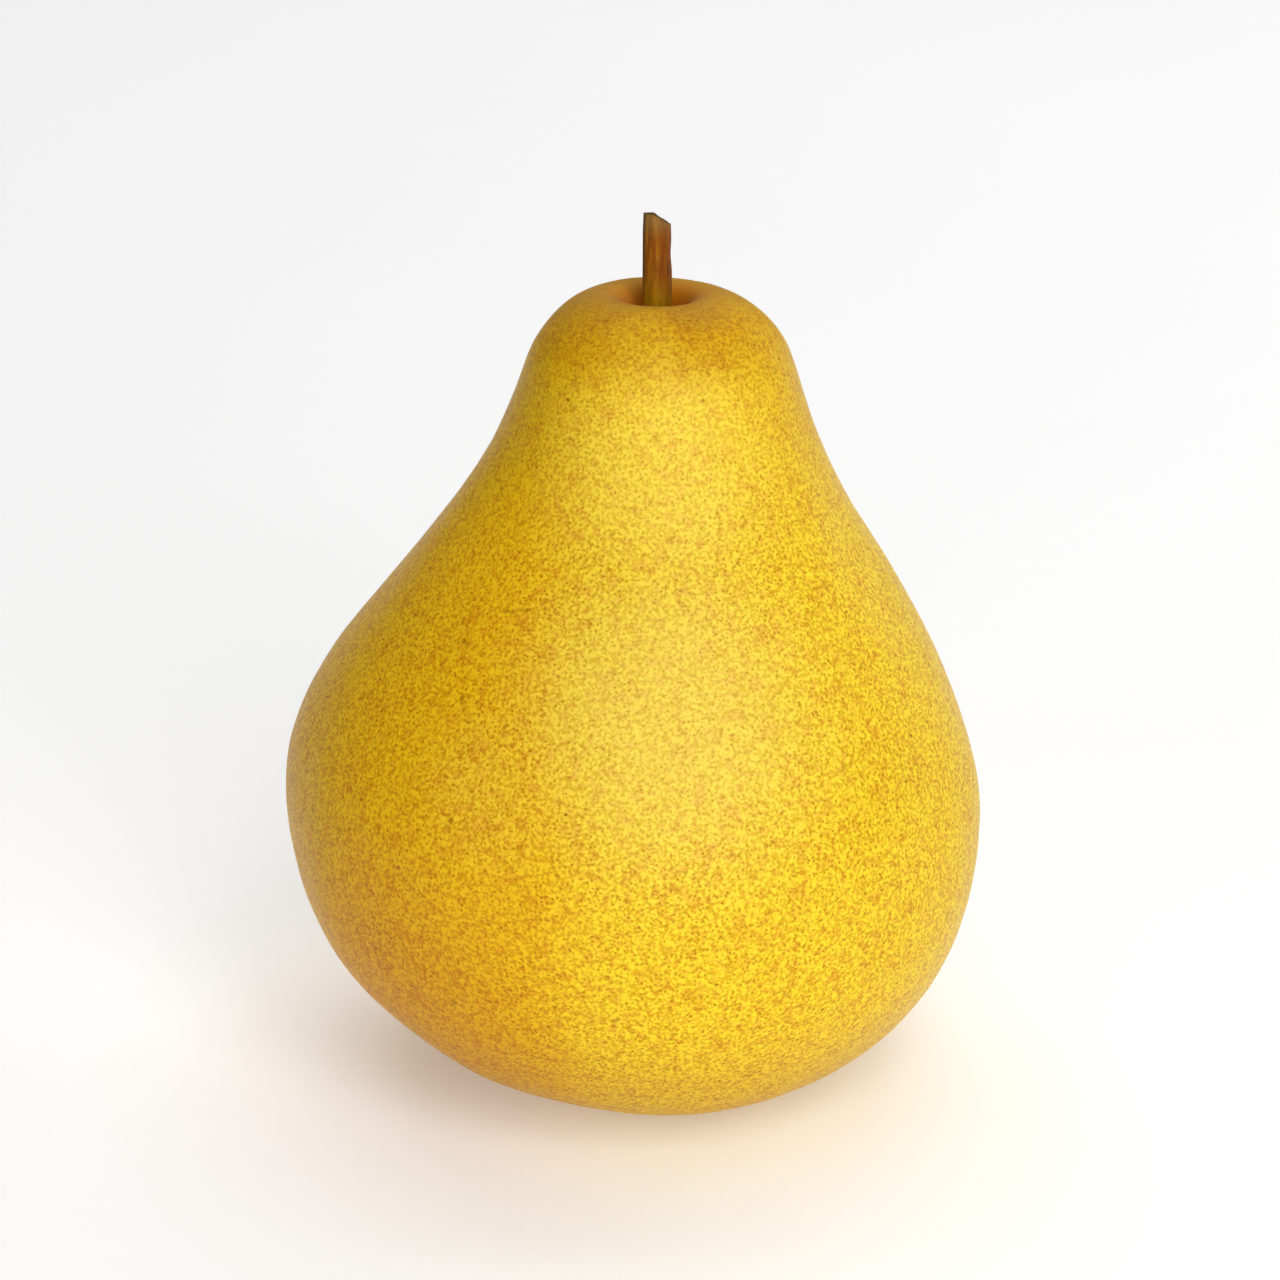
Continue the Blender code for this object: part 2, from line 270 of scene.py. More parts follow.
# Each fade is where it starts and ends, and what it gives there if that isn't 0 and 1.
# Lemon towards the right is painted light on the lit side.
lit_side_lemon_across = (-0.018, 0.000)
lemon_patches = (0.3, 0.7, -0.10, 0.10)
lemon_off_base = (0.004, 0.024, -0.35, 0.0)
base_shade_heights = (0.002, 0.022, 1.0, 0.0)
neck_heights = (crown_height - 0.0300, crown_height - 0.0080, 0.0, 0.72)
neck_under_highlight = (0.0, 0.45, 1.0, 0.2)
ragged_edge = (0.2, 0.8, -0.001, 0.001)
ochre_heights = (crown_height - 0.0090, crown_height - 0.0005, 0.0, 0.80)
ochre_across = (0.006, 0.016, 1.0, 0.55)
ochre_on_lip = (0.0, 1.0, 1.0, 0.55)
cap_heights = (crown_height - 0.0060, crown_height - 0.0010)
cluster_strengths = (0.28, 0.72, 0.82, 1.0)
calm_neck_heights = (crown_height - 0.0340, crown_height - 0.0120, 1.0, 0.86)
calm_under_highlight = (0.0, 1.0, 1.0, 0.6)
freckle_edge = (0.42, 0.62)
speck_edge = (0.10, 0.46, 1.0, 0.0)
mottle_edge = (0.46, 0.66)
pore_edge = (0.02, 0.06, 1.0, 0.0)

# Each patch is its middle, how far it reaches, and how far from the middle it is still full.
cap_wobble = 0.006
cap_shift = Vector((cap_wobble, cap_wobble, cap_wobble)) / 2
cap_middle = Vector((stem_middle.x, stem_middle.y + 0.0055, crown_height)) + cap_shift
cap_patch = (cap_middle, 0.0160, 0.0080)
front_lip_patch = (Vector((0.0008, -0.0125, crown_height - 0.0015)), 0.0075, 0.0020)
right_lip_patch = (Vector((0.0068, -0.0060, crown_height)), 0.0055, 0.0020)
funnel_patch = (Vector((stem_middle.x, stem_middle.y, crown_height - 0.0040)), 0.0086, 0.0040)
funnel_floor_shade_patch = (Vector((stem_middle.x, stem_middle.y, crown_height - 0.0052)), 0.0052, 0.0026)
basin_patch = (Vector((calyx_middle.x, calyx_middle.y, 0.003)), 0.0185, 0.0095)
blush_and_shade_patch = (Vector((-0.029, -0.027, 0.018)), 0.030, 0.004)

# The painted highlight: pale patches in front, each with its strength.
painted_highlight_patches = (
    ((Vector((0.006, -0.037, 0.059)), 0.028, 0.006), 0.72),
    ((Vector((0.005, -0.018, 0.080)), 0.021, 0.004), 0.45),
    ((Vector((-0.0152, -0.0355, 0.0490)), 0.014, 0.004), 0.20),
)
right_lip_strength = 0.7
tan_strength = 0.9
cap_smoothness = 0.7

# Grains and dots to the metre.
patch_scale = 60
wobble_scale = 190
pore_scale = 200
cluster_scale = 240
mottle_scale = 850
speck_scale = 1900
freckle_scale = 2350

# The view that the single marks are placed from, and that the camera takes: how far above level,
# from how far, at which point, and the scale there in a square frame.
view_elevation = math.radians(20.5)
view_distance = 0.600
view_aim = Vector((0.00084, 0.0, 0.05353))
frame_pixels = 1280
pixels_per_metre = 8395
view_back = Vector((0.0, -math.cos(view_elevation), math.sin(view_elevation)))
view_up = Vector((0.0, math.sin(view_elevation), math.cos(view_elevation)))
view_from = view_aim + view_back * view_distance

# Single marks on the skin, as spots with a column and a row of that frame, a reach in metres and
# a strength: dark pores, a reddish streak on the left near the widest part, and a thin broken
# line higher up.
dark_pores = (
    (464, 641, 0.00050, 0.8), (467, 645, 0.00040, 0.5), (462, 698, 0.00050, 0.8),
    (464, 703, 0.00050, 0.4), (451, 821, 0.00050, 0.8), (447, 827, 0.00050, 0.5),
    (454, 1002, 0.00065, 0.6), (615, 1021, 0.00045, 0.6), (618, 1019, 0.00035, 0.6),
    (787, 995, 0.00055, 0.4),
)
reddish_streak = (
    (340, 829, 0.00060, 0.4), (345, 829, 0.00050, 0.3), (350, 829, 0.00050, 0.3),
    (355, 829, 0.00050, 0.35), (360, 829, 0.00055, 0.3),
)
broken_line = (
    (506, 612, 0.00035, 0.8), (509, 611, 0.00030, 0.6), (513, 612, 0.00035, 0.8),
    (520, 610, 0.00025, 0.4), (523, 610, 0.00025, 0.4), (527, 610, 0.00035, 0.8),
    (530, 610, 0.00030, 0.6),
)


def skin_seen_at(column, row):
    """The place on the skin that is seen at a pixel of the frame."""
    right = (column - frame_pixels / 2) / pixels_per_metre
    up = (frame_pixels / 2 - row) / pixels_per_metre
    sight = view_aim + Vector((right, 0.0, 0.0)) + view_up * up - view_from
    hit = fruit.ray_cast(view_from, sight.normalized())
    return hit[1]


skin, tree, shader, place = new_material("pear_skin", satin_roughness)
axes = add_node(tree, "ShaderNodeSeparateXYZ", {"Vector": place})
across, height = axes.outputs["X"], axes.outputs["Z"]

# Lemon and golden yellow in random patches of real tone, with painted light across them: the lit right
# side is painted paler lemon and the shaded left deeper golden. It is golden low down too.
patches = noise(tree, place, patch_scale, detail=3.0)
lemon_share = math_of(tree, "ADD", fade(tree, across, *lit_side_lemon_across), fade(tree, patches, *lemon_patches))
lemon_share = math_of(tree, "ADD", lemon_share, fade(tree, height, *lemon_off_base))
ground = mixed(tree, fade(tree, lemon_share, 0.0, 1.0), golden_yellow, lemon_yellow)

# The neck is a deeper gold, painted shade darkens the base a little, and a painted highlight pales the
# front.
painted_highlight_share = 0.0
for patch, strength in painted_highlight_patches:
    painted_highlight_share = math_of(tree, "MAXIMUM", painted_highlight_share, product(tree, near(tree, place, *patch), strength))
neck_share = product(tree, fade(tree, height, *neck_heights), fade(tree, painted_highlight_share, *neck_under_highlight))
ground = mixed(tree, neck_share, ground, neck_gold)
ground = tinted(tree, ground, fade(tree, height, *base_shade_heights), painted_base_shade)
ground = mixed(tree, painted_highlight_share, ground, painted_highlight)

# Ochre comes in round the crown, with a ragged cap of smooth tan behind the stem, partly russet and
# partly painted sheen.
ragged_height = math_of(tree, "ADD", height, fade(tree, patches, *ragged_edge))
lip_share = fade(tree, near(tree, place, *front_lip_patch), *ochre_on_lip)
ochre_share = fade(tree, ragged_height, *ochre_heights)
ochre_share = product(tree, ochre_share, fade(tree, across, *ochre_across), lip_share)
ground = mixed(tree, ochre_share, ground, crown_ochre)
wobble_wires = {"Vector": place, "Scale": wobble_scale, "Detail": 2.0}
wobble = add_node(tree, "ShaderNodeTexNoise", wobble_wires).outputs["Color"]
ragged_wires = {0: wobble, 1: (cap_wobble, cap_wobble, cap_wobble), 2: place}
ragged_place = add_node(tree, "ShaderNodeVectorMath", ragged_wires, operation="MULTIPLY_ADD").outputs[0]
cap_share = product(tree, near(tree, ragged_place, *cap_patch), fade(tree, ragged_height, *cap_heights))
right_lip_share = product(tree, near(tree, place, *right_lip_patch), right_lip_strength)
tan_share = product(tree, math_of(tree, "MAXIMUM", cap_share, right_lip_share), tan_strength)
ground = mixed(tree, tan_share, ground, crown_tan_and_sheen)

# Russet lines the basin underneath, and a faint darker blush lies low on the shaded left, partly real
# blush and partly painted shade.
ground = mixed(tree, near(tree, place, *basin_patch), ground, basin_russet)
ground = tinted(tree, ground, near(tree, place, *blush_and_shade_patch), blush_and_shade_tint)

# Freckles, dark specks and mottles cover it all, fainter on the cap, the neck and under the painted
# highlight.
clusters = noise(tree, place, cluster_scale, detail=3.0, roughness=0.6)
off_cap = math_of(tree, "SUBTRACT", 1.0, product(tree, cap_share, cap_smoothness))
freckle_strength = product(tree, fade(tree, clusters, *cluster_strengths), off_cap)
freckle_strength = product(tree, freckle_strength, fade(tree, height, *calm_neck_heights))
freckle_strength = product(tree, freckle_strength, fade(tree, painted_highlight_share, *calm_under_highlight))
grain = noise(tree, place, freckle_scale)
specks = dot_distance(tree, place, speck_scale)
mottles = noise(tree, place, mottle_scale, detail=1.5)
skin_grains = (
    (grain, freckle_edge, freckle_tint),
    (specks, speck_edge, speck_tint),
    (mottles, mottle_edge, mottle_tint),
)
marks = white
for pattern, edge, tint in skin_grains:
    mark_share = product(tree, fade(tree, pattern, *edge), freckle_strength)
    marks = tinted(tree, marks, mark_share, tint)

# A pore here and there, and the single marks.
pores = fade(tree, dot_distance(tree, place, pore_scale), *pore_edge)
marks = tinted(tree, marks, pores, pore_tint)
bpy.context.view_layer.update()
for column, row, mark_reach, mark_strength in dark_pores + reddish_streak + broken_line:
    mark_share = near(tree, place, skin_seen_at(column, row), mark_reach, mark_reach / 3)
    marks = mixed(tree, product(tree, mark_share, mark_strength), marks, pore_tint)
skin_colour = mixed(tree, 1.0, ground, marks, "MULTIPLY")

# The funnel is orange brown, partly russet and partly painted shade, with painted shade darkest at its
# floor, and dull like the crown.
funnel_share = near(tree, place, *funnel_patch)
skin_colour = mixed(tree, funnel_share, skin_colour, funnel_orange_and_shade)
skin_colour = mixed(tree, near(tree, place, *funnel_floor_shade_patch), skin_colour, funnel_floor_shade)
tree.links.new(skin_colour, shader.inputs["Base Color"])
dull_share = math_of(tree, "MAXIMUM", ochre_share, funnel_share)
skin_roughness = fade(tree, dull_share, 0.0, 1.0, satin_roughness, dull_roughness)
tree.links.new(skin_roughness, shader.inputs["Roughness"])
shader.inputs["Specular IOR Level"].default_value = 0.10
shader.inputs["Sheen Weight"].default_value = 0.07
shader.inputs["Sheen Roughness"].default_value = 0.3
grain_wires = {"Height": grain, "Strength": 0.12, "Distance": 0.00006}
bump = add_node(tree, "ShaderNodeBump", grain_wires, invert=True)
tree.links.new(bump.outputs["Normal"], shader.inputs["Normal"])

fruit.data.materials.append(skin)
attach(fruit, "root")
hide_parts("fruit")

# The stem: a short woody stalk that grew out of the crown. It widens a little where it joins the
# flesh, has low ridges along its bark, and was cut across at a slant when the pear was picked.
stem_sides = 32
stem_subdivisions = 2
stem_root_radius = 0.00162
stem_sections = (
    (0.0057, 0.00168), (0.0015, 0.00176), (0.0013, 0.00176), (0.0015, 0.00173), (0.0018, 0.00170),
    (0.0020, 0.00167), (0.0020, 0.00164), (0.0020, 0.00162), (0.0020, 0.00161), (0.0020, 0.00162),
)
stem_lean = -0.0001
cut_left_of_axis = 0.00045
cut_height = 0.1062
cut_slope_right = 0.64
cut_slope_back = 0.24
cut_start = Vector((stem_middle.x + stem_lean - cut_left_of_axis, stem_middle.y, cut_height))
cut_normals = [Vector((slope, cut_slope_back, 1.0)).normalized() for slope in (0.0, cut_slope_right)]
cut_flatness = math.cos(math.radians(2))
cut_rim_crease = 0.85
bark_thickness = 0.00022
wood_sunk = -0.00007
pith_inset = 0.0008
rim_rounding = 0.00005
relief_from = crown_height - 0.0045
full_relief_from = crown_height - 0.0030
ridge_count = 7
ridge_height = 0.00004
fibre_height = 0.00007
fibre_cell = 0.00045
fibre_stretch = 0.10
lump_height = 0.00012
lump_cell = 0.0028


def start_round_piece(name, sides, radius, middle):
    """A new object with one round filled face, in edit mode, ready to be extruded."""
    bpy.ops.object.select_all(action="DESELECT")
    bpy.ops.mesh.primitive_circle_add(vertices=sides, radius=radius, fill_type="NGON", location=middle)
    piece = bpy.context.object
    piece.name = name
    bpy.ops.object.transform_apply(location=True, rotation=True, scale=True)
    bpy.ops.object.mode_set(mode="EDIT")
    bpy.ops.mesh.select_all(action="SELECT")
    return piece


def extrude_sections(sections, radius, middle):
    """Extrude the selected end face from section to section of a rise and a radius.

    The whole piece is left selected, with its faces turned outwards.
    """
    for rise, next_radius in sections:
        bpy.ops.mesh.extrude_region_move(TRANSFORM_OT_translate={"value": (0, 0, rise)})
        growth = next_radius / radius
        bpy.ops.transform.resize(value=(growth, growth, 1), center_override=middle)
        radius = next_radius
    bpy.ops.mesh.select_all(action="SELECT")
    bpy.ops.mesh.normals_make_consistent(inside=False)


def on_cut(face):
    """Whether a face of the stem lies along one of its two cuts."""
    return max(face.normal.dot(normal) for normal in cut_normals) > cut_flatness


foot = Vector((stem_middle.x + stem_lean, stem_middle.y, stem_low.z))
stem = start_round_piece("pear_stem", stem_sides, stem_root_radius, foot)
extrude_sections(stem_sections, stem_root_radius, foot)
for cut_normal in cut_normals:
    bpy.ops.mesh.select_all(action="SELECT")
    bpy.ops.mesh.bisect(plane_co=cut_start, plane_no=cut_normal, use_fill=True, clear_outer=True)
bpy.ops.object.mode_set(mode="OBJECT")
for face in stem.data.polygons:
    face.select = on_cut(face)
bpy.ops.object.mode_set(mode="EDIT")
bpy.ops.mesh.select_mode(type="FACE")
bpy.ops.mesh.inset(thickness=rim_rounding, depth=0, use_even_offset=True)
bpy.ops.mesh.inset(thickness=bark_thickness, depth=0)
bpy.ops.mesh.inset(thickness=rim_rounding, depth=wood_sunk)
bpy.ops.mesh.inset(thickness=pith_inset, depth=0)
bpy.ops.mesh.select_all(action="DESELECT")
bpy.ops.object.mode_set(mode="OBJECT")
faces_on_cut = {}
for face in stem.data.polygons:
    for key in face.edge_keys:
        faces_on_cut.setdefault(key, []).append(on_cut(face))
for edge in stem.data.edges:
    edge.select = sorted(faces_on_cut[edge.key]) == [False, True]
bpy.ops.object.mode_set(mode="EDIT")
bpy.ops.mesh.select_mode(type="EDGE")
bpy.ops.transform.edge_crease(value=cut_rim_crease)
bpy.ops.object.mode_set(mode="OBJECT")
subdivide(stem, stem_subdivisions)
for vertex in stem.data.vertices:
    out = Vector((vertex.co.x - foot.x, vertex.co.y - foot.y, 0.0))
    radius = out.length
    above_socket = smooth_share(vertex.co.z, relief_from, full_relief_from)
    if radius < stem_root_radius / 2 or above_socket == 0.0:
        continue
    turn = math.atan2(out.y, out.x)
    fibre_place = Vector((vertex.co.x, vertex.co.y, vertex.co.z * fibre_stretch)) / fibre_cell
    growth = ridge_height * math.cos(ridge_count * turn)
    growth += fibre_height * vector_noise.noise(fibre_place)
    growth += lump_height * vector_noise.noise(vertex.co / lump_cell)
    vertex.co += out / radius * growth * above_socket
only_select(stem)
bpy.ops.object.shade_smooth_by_angle(angle=crease_angle)

bark_brown = (0.360, 0.135, 0.003, 1)
bark_red = (0.215, 0.054, 0.002, 1)
# Dark for the fibres and for painted shade along the left edge.
bark_dark_and_shade = (0.050, 0.026, 0.004, 1)
bark_olive = (0.520, 0.300, 0.004, 1)
bark_tip = (0.285, 0.160, 0.040, 1)
fleck_tan = (0.50, 0.27, 0.08, 1)
cut_grey = (0.060, 0.050, 0.024, 1)
pith_brown = (0.14, 0.085, 0.030, 1)
bark_roughness = 0.62

# Fades, as for the skin.
red_streaks = (0.35, 0.65)
red_across = (stem_middle.x - 0.0004, stem_middle.x + 0.0014, 0.0, 0.8)
olive_heights = (crown_height - 0.0030, crown_height + 0.0035, 1.0, 0.0)
olive_streaks = (0.3, 0.6, 0.6, 1.0)
olive_across = (stem_middle.x, stem_middle.x + 0.0012, 1.0, 0.55)
tip_heights = (stem_high.z - 0.0035, stem_high.z - 0.0005, 0.0, 0.7)
# The left edge darkened by painted shade.
shaded_left_edge_across = (stem_middle.x - 0.0017, stem_middle.x - 0.0012, 0.85, 0.0)
shaded_left_edge_heights = (crown_height + 0.0005, crown_height + 0.0035, 0.15, 1.0)
dark_fibres = (0.52, 0.78, 0.0, 0.75)
fleck_edge = (0.60, 0.72, 0.0, 0.5)
fleck_heights = (stem_high.z - 0.0110, stem_high.z - 0.0030)
wood_below_cut = (-0.00022, -0.00010)
pith_fibres = (0.4, 0.7)
streak_scale = 1300
fibre_scale = 2600
fleck_scale = 3200

bark, tree, shader, place = new_material("stem_bark", bark_roughness)
axes = add_node(tree, "ShaderNodeSeparateXYZ", {"Vector": place})
across, height = axes.outputs["X"], axes.outputs["Z"]
stretch_wires = {"Vector": place, "Scale": (1, 1, fibre_stretch)}
along_stem = add_node(tree, "ShaderNodeMapping", stretch_wires).outputs["Vector"]
fibres = noise(tree, along_stem, fibre_scale, detail=3.0, roughness=0.6)
streaks = noise(tree, along_stem, streak_scale)

# Brown bark with red streaks, redder on the right, olive at the foot and paler at the tip.
bark_colour = mixed(tree, fade(tree, streaks, *red_streaks), bark_brown, bark_red)
bark_colour = mixed(tree, fade(tree, across, *red_across), bark_colour, bark_red)
olive_share = product(tree, fade(tree, height, *olive_heights), fade(tree, streaks, *olive_streaks))
olive_share = product(tree, olive_share, fade(tree, across, *olive_across))
bark_colour = mixed(tree, olive_share, bark_colour, bark_olive)
bark_colour = mixed(tree, fade(tree, height, *tip_heights), bark_colour, bark_tip)

# Its left edge is darkened by painted shade and its fibres are dark, with tan flecks towards the tip.
left_edge_shade_share = product(tree, fade(tree, across, *shaded_left_edge_across), fade(tree, height, *shaded_left_edge_heights))
bark_colour = mixed(tree, left_edge_shade_share, bark_colour, bark_dark_and_shade)
bark_colour = mixed(tree, fade(tree, fibres, *dark_fibres), bark_colour, bark_dark_and_shade)
flecks = fade(tree, noise(tree, place, fleck_scale), *fleck_edge)
fleck_share = product(tree, flecks, fade(tree, height, *fleck_heights))
bark_colour = mixed(tree, fleck_share, bark_colour, fleck_tan)

# The cut shows grey wood with brown pith.
from_cut = add_node(tree, "ShaderNodeVectorMath", {0: place, 1: tuple(cut_start)}, operation="SUBTRACT")
above_cuts = []
for cut_normal in cut_normals:
    cut_wires = {0: from_cut.outputs[0], 1: tuple(cut_normal)}
    above_cut = add_node(tree, "ShaderNodeVectorMath", cut_wires, operation="DOT_PRODUCT")
    above_cuts.append(above_cut.outputs["Value"])
wood_share = fade(tree, math_of(tree, "MAXIMUM", *above_cuts), *wood_below_cut)
wood = mixed(tree, fade(tree, fibres, *pith_fibres), cut_grey, pith_brown)
bark_colour = mixed(tree, wood_share, bark_colour, wood)
tree.links.new(bark_colour, shader.inputs["Base Color"])
shader.inputs["Specular IOR Level"].default_value = 0.08
bump = add_node(tree, "ShaderNodeBump", {"Height": fibres, "Strength": 0.5, "Distance": 0.00008})
tree.links.new(bump.outputs["Normal"], shader.inputs["Normal"])

stem.data.materials.append(bark)
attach(stem, "root")
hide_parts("stem")

# The calyx: what is left of the flower, dried in the basin underneath. Five brown sepals curl out
# from the rim of a small cup, and the withered stamens stand inside it. It grew as one piece.
calyx_draws = random.Random(7)
calyx_axis = Vector((calyx_middle.x, calyx_middle.y, calyx_high.z))
cup_sides = 40
cup_root_radius = 0.0017
cup_sections = (
    (-0.00250, 0.00170), (-0.00005, 0.00330), (-0.00080, 0.00375), (-0.00090, 0.00385),
    (-0.00030, 0.00372), (0.00010, 0.00335), (0.00060, 0.00280), (0.00045, 0.00190), (0.00010, 0.00080),
)
sepal_count = 5
sepal_columns = 4
sepal_subdivisions = 2
sepal_root = Vector((0.0032, 0.0, 0.0041))
sepal_root_width = 0.0030
sepal_steps = (
    (0.0008, -0.0005, 0.0034), (0.0009, -0.0006, 0.0031), (0.0009, -0.0005, 0.0025),
    (0.0008, -0.0003, 0.0017), (0.0006, 0.0000, 0.0009), (0.0004, 0.0002, 0.0002),
)
sepal_root_length = sepal_steps[0][0]
sepal_fold = 0.00045
sepal_thickness = 0.00042
sepal_turns = (-0.12, 0.12)
sepal_twists = (-0.16, 0.16)
sepal_droops = (-0.07, 0.07)
sepal_sizes = (0.90, 1.0)
stamen_count = 13
stamen_sides = 8
stamen_subdivisions = 1
stamen_radius = 0.00020
stamen_sections = ((-0.0012, 0.00018), (-0.0010, 0.00015), (-0.0002, 0.00026), (-0.0003, 0.00022))
stamen_rounds = 2.4
stamen_circle = 0.0011
stamen_top = 0.0048
stamen_turns = (-0.2, 0.2)
stamen_spreads = (0.3, 1.2)
stamen_leans = (0.05, 0.45)
stamen_sizes = (0.8, 1.1)
dried_voxel = 0.00012
dried_fold_cell = 0.0009
dried_fold_height = 0.00022

cup = start_round_piece("pear_calyx", cup_sides, cup_root_radius, calyx_axis)
extrude_sections(cup_sections, cup_root_radius, calyx_axis)
bpy.ops.object.mode_set(mode="OBJECT")

# One sepal, extruded outwards step by step: how far out, how far up, and how wide it then is.
bpy.ops.object.select_all(action="DESELECT")
bpy.ops.mesh.primitive_grid_add(x_subdivisions=1, y_subdivisions=sepal_columns, size=2)
sepal = bpy.context.object
bpy.ops.object.mode_set(mode="EDIT")
bpy.ops.mesh.select_mode(type="VERT")
bpy.ops.mesh.select_all(action="SELECT")
bpy.ops.transform.resize(value=(sepal_root_length / 2, sepal_root_width / 2, 1))
bpy.ops.transform.translate(value=sepal_root)
bpy.ops.object.mode_set(mode="OBJECT")
for vertex in sepal.data.vertices:
    vertex.select = vertex.co.x > sepal_root.x
bpy.ops.object.mode_set(mode="EDIT")
bpy.ops.mesh.select_mode(type="EDGE")
sepal_width = sepal_root_width
for reach, rise, width in sepal_steps:
    bpy.ops.mesh.extrude_region_move(TRANSFORM_OT_translate={"value": (reach, 0, rise)})
    bpy.ops.transform.resize(value=(1, width / sepal_width, 1), center_override=(0, 0, 0))
    sepal_width = width
bpy.ops.object.mode_set(mode="OBJECT")
for vertex in sepal.data.vertices:
    vertex.select = abs(vertex.co.y) < merge_distance
bpy.ops.object.mode_set(mode="EDIT")
bpy.ops.mesh.select_mode(type="VERT")
bpy.ops.transform.translate(value=(0, 0, -sepal_fold))
bpy.ops.object.mode_set(mode="OBJECT")
thicken = sepal.modifiers.new("Thickness", "SOLIDIFY")
thicken.thickness = sepal_thickness
thicken.offset = 0
bpy.ops.object.modifier_apply(modifier=thicken.name)
subdivide(sepal, sepal_subdivisions)

stamen = start_round_piece("stamen", stamen_sides, stamen_radius, (0, 0, 0))
extrude_sections(stamen_sections, stamen_radius, (0, 0, 0))
bpy.ops.object.mode_set(mode="OBJECT")
subdivide(stamen, stamen_subdivisions)


def placed_copy(model, place):
    """A copy of a modelled part with its own mesh, moved to its place."""
    copy = bpy.data.objects.new(model.name, model.data.copy())
    copy.data.transform(place)
    bpy.context.scene.collection.objects.link(copy)
    return copy


dried_parts = []
on_axis = Matrix.Translation((calyx_axis.x, calyx_axis.y, 0))
root = Matrix.Translation(sepal_root)
for index in range(sepal_count):
    turn = 2 * math.pi * index / sepal_count + calyx_draws.uniform(*sepal_turns)
    twist = Matrix.Rotation(calyx_draws.uniform(*sepal_twists), 4, "X")
    droop = Matrix.Rotation(calyx_draws.uniform(*sepal_droops), 4, "Y")
    size = Matrix.Scale(calyx_draws.uniform(*sepal_sizes), 4)
    bent = root @ twist @ droop @ size @ root.inverted()
    dried_parts.append(placed_copy(sepal, on_axis @ Matrix.Rotation(turn, 4, "Z") @ bent))
for index in range(stamen_count):
    turn = 2 * math.pi * index / stamen_count * stamen_rounds + calyx_draws.uniform(*stamen_turns)
    off_axis = stamen_circle * calyx_draws.uniform(*stamen_spreads)
    lean = Matrix.Rotation(-calyx_draws.uniform(*stamen_leans), 4, "Y")
    size = Matrix.Scale(calyx_draws.uniform(*stamen_sizes), 4)
    seat = Matrix.Translation((off_axis, 0, stamen_top))
    dried_parts.append(placed_copy(stamen, on_axis @ Matrix.Rotation(turn, 4, "Z") @ seat @ lean @ size))
for model in (sepal, stamen):
    bpy.data.objects.remove(model, do_unlink=True)
only_select(cup)
for part in dried_parts:
    part.select_set(True)
bpy.ops.object.join()
grow_together = cup.modifiers.new("Together", "REMESH")
grow_together.mode = "VOXEL"
grow_together.voxel_size = dried_voxel
bpy.ops.object.modifier_apply(modifier=grow_together.name)
soften = cup.modifiers.new("Soften", "SMOOTH")
soften.factor = 0.5
soften.iterations = 3
bpy.ops.object.modifier_apply(modifier=soften.name)
raise_relief(cup, "dried_folds", dried_fold_cell, dried_fold_height, 2)
bpy.ops.object.shade_smooth_by_angle(angle=crease_angle)

dried_brown = (0.095, 0.042, 0.014, 1)
dried_dark = (0.030, 0.014, 0.006, 1)
dried_tan = (0.24, 0.13, 0.055, 1)
dried_roughness = 0.82
fold_scale = 1400
fold_edge = (0.35, 0.62)
tan_scale = 700
tan_edge = (0.50, 0.72, 0.0, 0.7)

dried_skin, tree, shader, place = new_material("dried_calyx", dried_roughness)
folds = noise(tree, place, fold_scale, detail=4.0, roughness=0.65, distortion=0.6)
dried_colour = mixed(tree, fade(tree, folds, *fold_edge), dried_dark, dried_brown)
tan_spots = noise(tree, place, tan_scale, detail=3.0, roughness=0.6)
dried_colour = mixed(tree, fade(tree, tan_spots, *tan_edge), dried_colour, dried_tan)
tree.links.new(dried_colour, shader.inputs["Base Color"])
shader.inputs["Specular IOR Level"].default_value = 0.25
bump = add_node(tree, "ShaderNodeBump", {"Height": folds, "Strength": 0.5, "Distance": 0.0001})
tree.links.new(bump.outputs["Normal"], shader.inputs["Normal"])

cup.data.materials.append(dried_skin)
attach(cup, "root")
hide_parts("calyx")

# The floor is a plain pale sheet, lit a little from below as on a photographer's table. It isn't
# part of the pear.
floor_reach = 3.0
floor_glow = 0.25
paper_scale = 3.0
paper_edge = (0.3, 0.7)
paper_grey = (0.89, 0.89, 0.89, 1)
paper_white = (0.91, 0.91, 0.91, 1)
paper_roughness = 0.9
bpy.ops.object.select_all(action="DESELECT")
bpy.ops.mesh.primitive_plane_add(size=2 * floor_reach, location=(0, 0, 0))
floor = bpy.context.object
floor.name = "floor"
paper, tree, shader, place = new_material("floor_paper", paper_roughness)
paper_tone = fade(tree, noise(tree, place, paper_scale), *paper_edge)
tree.links.new(mixed(tree, paper_tone, paper_grey, paper_white), shader.inputs["Base Color"])
shader.inputs["Emission Color"].default_value = white
shader.inputs["Emission Strength"].default_value = floor_glow
floor.data.materials.append(paper)

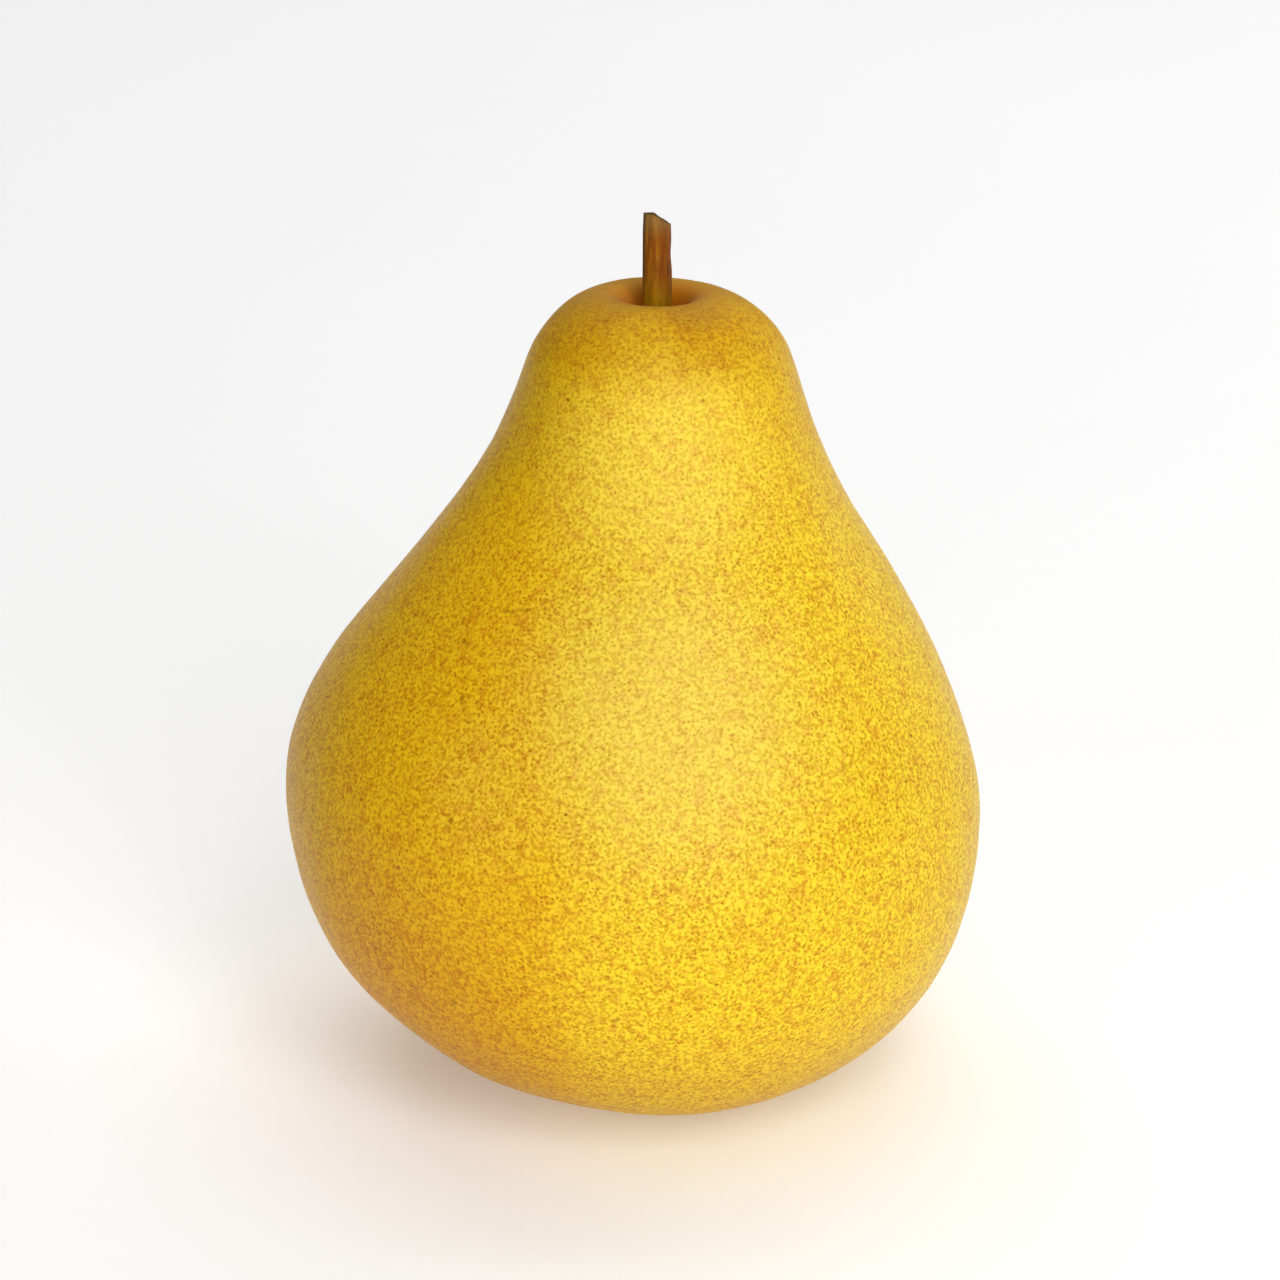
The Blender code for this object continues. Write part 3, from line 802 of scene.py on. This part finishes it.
# Soft studio light: two upright boxes stand beside the camera, weak ones on the left and behind on
# the right light the edges, and two wide ones overhead and behind whiten the floor and the crown.
light_aim = Vector((0.0, 0.0, 0.05))
room_glow = 0.01

# Each box's name, azimuth, elevation, distance, width, height and power. Azimuth 0 is the camera's
# side, and 90 is the right.
studio_boxes = (
    ("front_box", 25, 28, 0.9, 0.30, 1.00, 4.0),
    ("middle_box", 5, 28, 0.9, 0.30, 1.00, 2.1),
    ("left_box", -25, 15, 0.9, 0.40, 0.50, 0.2),
    ("right_rim_box", 125, 20, 0.9, 0.40, 0.60, 1.5),
    ("top_box", 0, 85, 2.0, 2.40, 2.40, 11.0),
    ("back_box", 180, 50, 2.0, 2.40, 1.60, 19.0),
)
for name, azimuth, elevation, distance, box_width, box_height, power in studio_boxes:
    turn = math.radians(azimuth)
    rise = math.radians(elevation)
    flat = math.cos(rise)
    away = Vector((math.sin(turn) * flat, -math.cos(turn) * flat, math.sin(rise)))
    light = bpy.data.lights.new(name, "AREA")
    light.shape = "RECTANGLE"
    light.size = box_width
    light.size_y = box_height
    light.energy = power
    lamp = bpy.data.objects.new(name, light)
    lamp.location = light_aim + away * distance
    lamp.rotation_mode = "QUATERNION"
    lamp.rotation_quaternion = away.to_track_quat("Z", "Y")
    bpy.context.scene.collection.objects.link(lamp)
room = bpy.data.worlds.new("pale_room")
room.use_nodes = True
room.node_tree.nodes["Background"].inputs["Color"].default_value = white
room.node_tree.nodes["Background"].inputs["Strength"].default_value = room_glow
bpy.context.scene.world = room
bpy.context.scene.view_settings.view_transform = "Standard"

# The camera looks a little down on the pear through a long lens. Its lens is worked out from how
# many pixels of the square frame one metre of the pear takes up.
sensor_width = 36.0
camera_data = bpy.data.cameras.new("camera")
camera_data.sensor_width = sensor_width
camera_data.lens = pixels_per_metre * view_distance / frame_pixels * sensor_width
camera_data.clip_start = 0.05
camera_data.clip_end = 20.0
camera = bpy.data.objects.new("camera", camera_data)
camera.location = view_from
camera.rotation_mode = "QUATERNION"
camera.rotation_quaternion = view_back.to_track_quat("Z", "Y")
bpy.context.scene.collection.objects.link(camera)
bpy.context.scene.camera = camera
